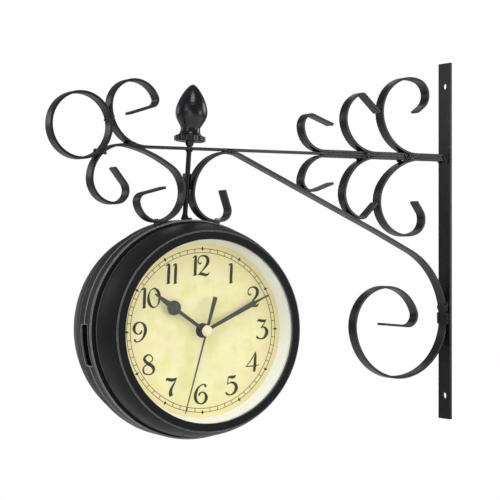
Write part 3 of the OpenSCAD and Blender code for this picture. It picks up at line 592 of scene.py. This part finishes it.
def drop(mesh, centre, radius, seed):
    """Adds one closed lumpy ball, flatter towards the viewer; sizes in millimetres."""

    def point(tilt, turn):
        way = Vector((math.sin(tilt) * math.cos(turn), math.cos(tilt), math.sin(tilt) * math.sin(turn)))
        lump = mathutils.noise.noise(way * LUMPS + Vector((seed * STEP_X, seed * STEP_Y, 0)))
        swell = 1 + SWELL * lump
        return mesh.verts.new([(c + radius * swell * w * f) * MM
                               for c, w, f in zip(centre, way, (1, FLAT, 1))])

    near, far = point(0, 0), point(math.pi, 0)
    rows = [[point(math.pi * i / DROP_RINGS, 2 * math.pi * k / DROP_SIDES) for k in range(DROP_SIDES)]
            for i in range(1, DROP_RINGS)]
    for k in range(DROP_SIDES):
        m = (k + 1) % DROP_SIDES
        mesh.faces.new((near, rows[0][k], rows[0][m]))
        mesh.faces.new((far, rows[-1][m], rows[-1][k]))
        for a, b in zip(rows, rows[1:]):
            mesh.faces.new((a[k], b[k], b[m], a[m]))


print("a drop has", DROP_RINGS, "rings of", DROP_SIDES, "sides")

# %% Weld drops on the bracket
drops = [((x + dx, face * out, z + dz), radius)
         for x, z, out, joint in WELDS for face in (-1, 1) for dx, dz, radius in joint]
weld_mesh = bmesh.new()
for seed, (centre, radius) in enumerate(drops, 1):
    drop(weld_mesh, centre, radius, seed)
bmesh.ops.recalc_face_normals(weld_mesh, faces=weld_mesh.faces)
weld_data = bpy.data.meshes.new("weld_drops")
weld_mesh.to_mesh(weld_data)
weld_mesh.free()
weld_data.shade_smooth()
weld_data.materials.append(weld_paint)
weld_drops = bpy.data.objects.new("weld_drops", weld_data)
scene.collection.objects.link(weld_drops)
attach(weld_drops, "bracket")
print(len(drops), "weld drops")

# %% [markdown]
# ## Printed numbers and minute track
# The numbers are old-style figures with thick and thin strokes, as a broad pen draws them. A font would
# be quicker, but it would have to be on disk, so each figure is drawn as a few pen strokes. A stroke is
# a list of points with the pen's width at each one, in millimetres from the middle of the figure. A smooth
# curve through the points becomes a thin ribbon of ink that stands a few hundredths of a millimetre proud
# of the dial. Neighbouring ribbons differ in height, so that two strokes that cross share no surface.

# %% Pen strokes of the figures
SIX = [[(3.9, 5.2, 1.9), (3.5, 6.8, 1.3), (0.8, 7.1, 0.9), (-2.6, 4.4, 1.6), (-4.6, -0.4, 2.6),
        (-3.9, -4.9, 2.2), (-0.4, -7.4, 1.0), (3.2, -6.0, 1.9), (4.6, -2.6, 2.5), (3.4, 0.4, 1.6),
        (1.0, 1.5, 1.0), (-1.2, 0.2, 1.5), (-1.6, -1.5, 0.9)]]
NINE = [[(-x, -y, width) for x, y, width in SIX[0]]]
# The 0 is an oval, and the pen's slant makes its stroke swell and thin twice on the way round
OVAL_X, OVAL_Y, OVAL_STEP = 4.5, 7.0, 24
PEN, PEN_SWELL, PEN_SLANT = 1.6, 0.9, 60
ZERO = [[(OVAL_X * math.cos(math.radians(a)), OVAL_Y * math.sin(math.radians(a)),
          PEN + PEN_SWELL * math.cos(math.radians(2 * a - PEN_SLANT))) for a in range(0, 361, OVAL_STEP)]]
FIGURES = {
    "1": [[(0.7, 7.6, 1.3), (0.4, 4, 2.4), (0, -4, 2.4), (-0.1, -7.3, 2.2)],
          [(0.9, 7.7, 0.4), (-0.6, 6.9, 1.3), (-2.0, 5.8, 0.4)],
          [(-1.9, -7.5, 0.4), (0, -7.2, 1.0), (1.7, -6.6, 0.4)]],
    "2": [[(-1.5, 2.5, 0.6), (-2.6, 1.5, 1.2), (-4.0, 2.2, 1.1), (-4.4, 4.2, 0.9), (-3.0, 6.7, 0.9),
           (-0.2, 7.5, 1.2), (2.8, 6.4, 2.3), (3.8, 3.6, 2.7), (2.6, 0.4, 2.1), (-0.6, -3.4, 1.1),
           (-4.4, -7.2, 0.8)],
          [(-4.5, -7.2, 0.6), (-2.2, -6.2, 2.1), (0.8, -6.9, 2.2), (3.4, -6.9, 1.6), (4.9, -5.0, 0.4)]],
    "3": [[(-3.8, 5.8, 0.4), (-2.9, 7.1, 1.6), (-0.6, 6.6, 2.2), (2.2, 6.5, 1.8), (3.8, 7.5, 0.6)],
          [(3.7, 7.3, 0.7), (1.6, 3.9, 0.8), (-0.6, 1.3, 0.9)],
          [(-0.9, 1.2, 0.9), (1.8, 1.7, 1.3), (4.0, -0.6, 2.5), (4.1, -3.6, 2.7), (1.6, -6.7, 1.6),
           (-1.6, -7.3, 1.0), (-3.9, -6.2, 1.6), (-4.5, -4.9, 0.5)]],
    "4": [[(2.7, 7.8, 0.6), (0.2, 3.6, 0.9), (-3.2, -0.8, 0.8), (-5.7, -3.3, 0.6)],
          [(-5.7, -3.5, 0.6), (-2.0, -3.2, 0.9), (2.6, -3.0, 0.9), (5.7, -2.2, 0.5)],
          [(2.8, 7.6, 0.7), (2.4, 3.0, 2.2), (1.9, -3.0, 2.4), (1.3, -7.6, 1.9)]],
    "5": [[(-2.6, 6.3, 0.8), (-2.9, 3.5, 0.8), (-3.5, 0.8, 0.6)],
          [(-2.8, 6.6, 0.8), (-0.4, 6.3, 2.2), (2.2, 6.4, 2.2), (3.9, 7.8, 0.5)],
          [(-3.6, 0.7, 0.6), (-0.6, 2.2, 1.2), (2.9, 1.2, 2.3), (4.3, -1.9, 2.8), (2.6, -5.6, 2.0),
           (-0.8, -7.3, 1.0), (-3.7, -6.4, 1.7), (-4.9, -4.9, 0.5)]],
    "6": SIX,
    "7": [[(-4.4, 5.0, 0.4), (-3.8, 6.8, 1.6), (-1.4, 6.1, 2.5), (1.6, 6.0, 2.2), (4.3, 7.5, 0.6)],
          [(4.2, 7.3, 0.7), (2.1, 3.2, 1.2), (-0.2, -0.8, 2.1), (-0.8, -4.2, 2.9), (-0.1, -6.2, 3.1)]],
    "8": [[(3.1, 5.4, 0.8), (0.6, 7.4, 1.0), (-2.6, 6.3, 1.6), (-3.4, 3.8, 2.2), (-1.0, 1.2, 2.6),
           (2.6, -1.0, 2.6), (4.2, -3.8, 2.2), (2.6, -6.7, 1.2), (-0.4, -7.4, 0.9)],
          [(-0.2, -7.4, 0.9), (-3.4, -6.4, 1.2), (-4.5, -3.6, 1.4), (-3.2, -1.0, 1.0), (0.6, 1.3, 0.8),
           (3.0, 3.4, 0.9), (3.1, 5.6, 0.8)]],
    "9": NINE,
    "0": ZERO,
}
print(sum(len(strokes) for strokes in FIGURES.values()), "strokes in", len(FIGURES), "figures")

# %% Places of the numbers
# From twelve round to eleven: the figures of each number with their shifts to the side, and the place of
# its middle from the dial's centre. All in millimetres.
HOURS = [
    ((("1", -4.9), ("2", 2.2)), (-1.4, 50.8)),
    ((("1", 0),), (24.8, 44.6)),
    ((("2", 0),), (44.4, 25.8)),
    ((("3", 0),), (52.2, -0.2)),
    ((("4", 0),), (43.9, -26.0)),
    ((("5", 0),), (25.1, -43.9)),
    ((("6", 0),), (-1.4, -49.8)),
    ((("7", 0),), (-26.5, -43.9)),
    ((("8", 0),), (-45.7, -25.4)),
    ((("9", 0),), (-53.2, -0.1)),
    ((("1", -5.8), ("0", 2.3)), (-43.6, 26.0)),
    ((("1", -2.9), ("1", 2.9)), (-26.2, 44.6)),
]
print(len(HOURS), "numbers")


# %% Smooth path through pen points
def smooth(points, steps=7):
    """Smooth curve that passes through all (x, y, width) points, with so many steps between two."""
    ends = [points[0]] + list(points) + [points[-1]]
    path = []
    for a, b, c, d in zip(ends, ends[1:], ends[2:], ends[3:]):
        for k in range(steps):
            t = k / steps
            path.append(tuple(0.5 * (2 * q + (r - p) * t + (2 * p - 5 * q + 4 * r - s) * t * t
                                     + (3 * q - p - 3 * r + s) * t ** 3)
                              for p, q, r, s in zip(a, b, c, d)))
    return path + [tuple(points[-1])]


print(len(SIX[0]), "pen points of the 6 become", len(smooth(SIX[0])))


# %% Ink ribbons
class Ink:
    """Thin print on one face: collects ribbons, then becomes one object. Heights are in millimetres."""

    SUNK = -0.02
    PROUD = 0.03
    STEP = 0.004
    HEIGHTS = 8

    def __init__(self, side):
        self.mesh = bmesh.new()
        self.side = side
        self.count = 0

    def point(self, x, y, height):
        across, outward = ACROSS * self.side, FORWARD * self.side
        return self.mesh.verts.new(HEAD + across * x * MM + UP * y * MM + outward * (DIAL_AT + height * MM))

    def ribbon(self, path, closed=False):
        """Lays a ribbon along (x, y, width) points, with square ends or as a loop."""
        top = self.PROUD + self.STEP * (self.count % self.HEIGHTS)
        self.count += 1
        rows = []
        for i, (x, y, w) in enumerate(path):
            before = path[i - 1] if i or closed else path[0]
            after = path[(i + 1) % len(path)] if i + 1 < len(path) or closed else path[-1]
            dx, dy = after[0] - before[0], after[1] - before[1]
            length = math.hypot(dx, dy) or 1
            nx, ny = -dy / length * w / 2, dx / length * w / 2
            rows.append([self.point(x + nx, y + ny, top), self.point(x - nx, y - ny, top),
                         self.point(x - nx, y - ny, self.SUNK), self.point(x + nx, y + ny, self.SUNK)])
        pairs = list(zip(rows, rows[1:])) + ([(rows[-1], rows[0])] if closed else [])
        for a, b in pairs:
            for k in range(4):
                self.mesh.faces.new((a[k], b[k], b[(k + 1) % 4], a[(k + 1) % 4]))
        if not closed:
            self.mesh.faces.new(rows[0])
            self.mesh.faces.new(rows[-1][::-1])

    def made(self, name):
        """Turns the ribbons into an object that rides on the head."""
        bmesh.ops.recalc_face_normals(self.mesh, faces=self.mesh.faces)
        data = bpy.data.meshes.new(name)
        self.mesh.to_mesh(data)
        self.mesh.free()
        data.materials.append(dial_ink)
        thing = bpy.data.objects.new(name, data)
        scene.collection.objects.link(thing)
        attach(thing, "head")
        return thing


print("ink stands", Ink.PROUD, "to", Ink.PROUD + Ink.STEP * (Ink.HEIGHTS - 1), "mm proud")

# %% Numbers on both faces
FIGURE_SCALE = 1.03
SIDES = (("front", 1), ("rear", -1))
for face, side in SIDES:
    ink = Ink(side)
    for figures, (u, v) in HOURS:
        for figure, shift in figures:
            for stroke in FIGURES[figure]:
                ink.ribbon([(u + shift + x * FIGURE_SCALE, v + y * FIGURE_SCALE, w * FIGURE_SCALE)
                            for x, y, w in smooth(stroke)])
    numbers = ink.made(face + "_numbers")
    print(numbers.name, len(numbers.data.polygons), "faces")

# %% [markdown]
# ## Minute track
# Round the numbers run two thin circles with a short line for each minute and a small lozenge for each
# five. They are ink too, so they are laid as ribbons of the same kind: the circles as closed ones, and the
# lozenges as ribbons that swell from a point and back.

# %% Minute track on both faces
# Radii and line widths in millimetres
TRACK_OUT, TRACK_IN = 64.0, 61.0
MINUTES, LOZENGE_EVERY = 60, 5
CIRCLE_WIDTH, CIRCLE_STEP = 0.45, 2
MINUTE_LINE = ((TRACK_IN, 0.5), (TRACK_OUT, 0.5))
LOZENGE = ((62.2, 0.1), (TRACK_OUT, 2.2), (65.8, 0.1))
for face, side in SIDES:
    ink = Ink(side)
    for radius in (TRACK_OUT, TRACK_IN):
        ink.ribbon([(radius * math.sin(math.radians(a)), radius * math.cos(math.radians(a)), CIRCLE_WIDTH)
                    for a in range(0, 360, CIRCLE_STEP)], closed=True)
    for minute in range(MINUTES):
        turn = math.radians(360 // MINUTES * minute)
        s, c = math.sin(turn), math.cos(turn)
        marks = MINUTE_LINE if minute % LOZENGE_EVERY else LOZENGE
        ink.ribbon([(r * s, r * c, w) for r, w in marks])
    track = ink.made(face + "_minute_track")
    print(track.name, len(track.data.polygons), "faces")

# %% [markdown]
# ## The end

# %% Finish
print("scene dressed")
